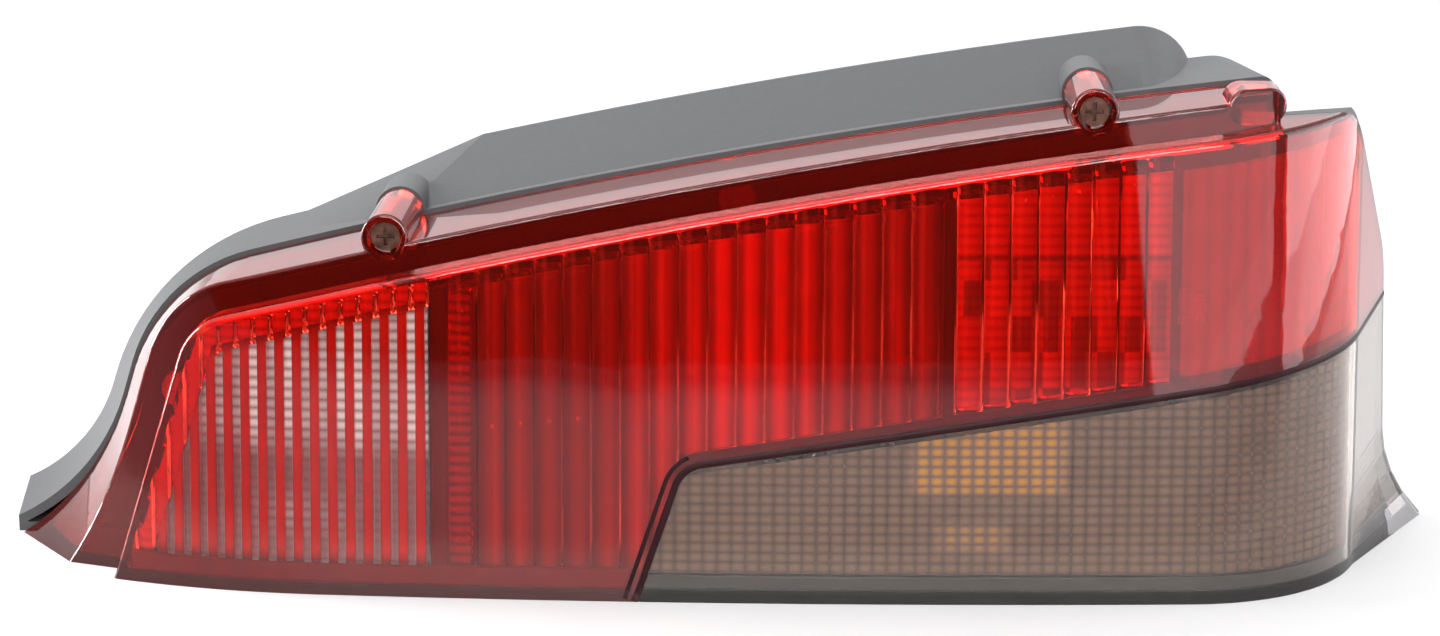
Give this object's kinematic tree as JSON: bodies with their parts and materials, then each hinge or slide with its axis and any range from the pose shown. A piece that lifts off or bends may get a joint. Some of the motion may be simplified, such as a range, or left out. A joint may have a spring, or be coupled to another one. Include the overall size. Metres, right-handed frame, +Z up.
{
  "type": "tail light cluster",
  "caption": "Wrap-round rear lamp of a small hatchback: red fluted lens and smoked corner lens on a grey housing, with a striped reversing cell, bulbs, reflectors and a carrier.",
  "frame": {"origin": "foot of the top stud, on the plane of the mounting pads", "axes": "+X to the lamp's outer end, +Y into the car along the studs, +Z up"},
  "size_m": [0.3779, 0.1186, 0.1301],
  "materials": {
    "housing": "satin grey moulding",
    "red_lens": "clear red moulding, fluted inside",
    "smoked_lens": "smoked moulding, fine grid inside",
    "amber": "clear amber moulding",
    "clear_pane": "clear moulding",
    "divider": "black moulding",
    "rubber": "black rubber",
    "foam": "black foam",
    "carrier": "natural plastic",
    "brass": "bright",
    "reflector": "metallised plastic",
    "bulb_glass": "clear",
    "filament": "wire",
    "screw": "plated",
    "stud": "plated"
  },
  "bodies": {
    "root": {"housing": "housing", "red_lens": "red_lens", "smoked_lens": "smoked_lens", "lens_gasket": "rubber", "amber_filter": "amber", "divider": "divider", "cell_divider": "divider", "clear_pane": "clear_pane", "bulb_carrier": "carrier", "carrier_gasket": "rubber", "body_seal": "foam", "ground_strip": "brass", "lens_screw_left": "screw", "lens_screw_right": "screw", "carrier_screw_left": "screw", "carrier_screw_right": "screw", "stud_left": "stud", "stud_right": "stud", "stud_top": "stud", "reverse_reflector": "reflector", "reverse_bulb_glass": "bulb_glass", "reverse_bulb_base": "brass", "reverse_filament": "filament", "reverse_contact": "brass", "tail_reflector": "reflector", "tail_bulb_glass": "bulb_glass", "tail_bulb_base": "brass", "tail_filament": "filament", "tail_contact": "brass", "stop_reflector": "reflector", "stop_bulb_glass": "bulb_glass", "stop_bulb_base": "brass", "stop_filament": "filament", "stop_contact": "brass", "marker_reflector": "reflector", "marker_bulb_glass": "bulb_glass", "marker_bulb_base": "brass", "marker_filament": "filament", "marker_contact": "brass", "indicator_reflector": "reflector", "indicator_bulb_glass": "bulb_glass", "indicator_bulb_base": "brass", "indicator_filament": "filament", "indicator_contact": "brass", "terminal_1": "brass", "terminal_2": "brass", "terminal_3": "brass", "terminal_4": "brass", "terminal_5": "brass", "terminal_6": "brass"}
  },
  "joints": []
}
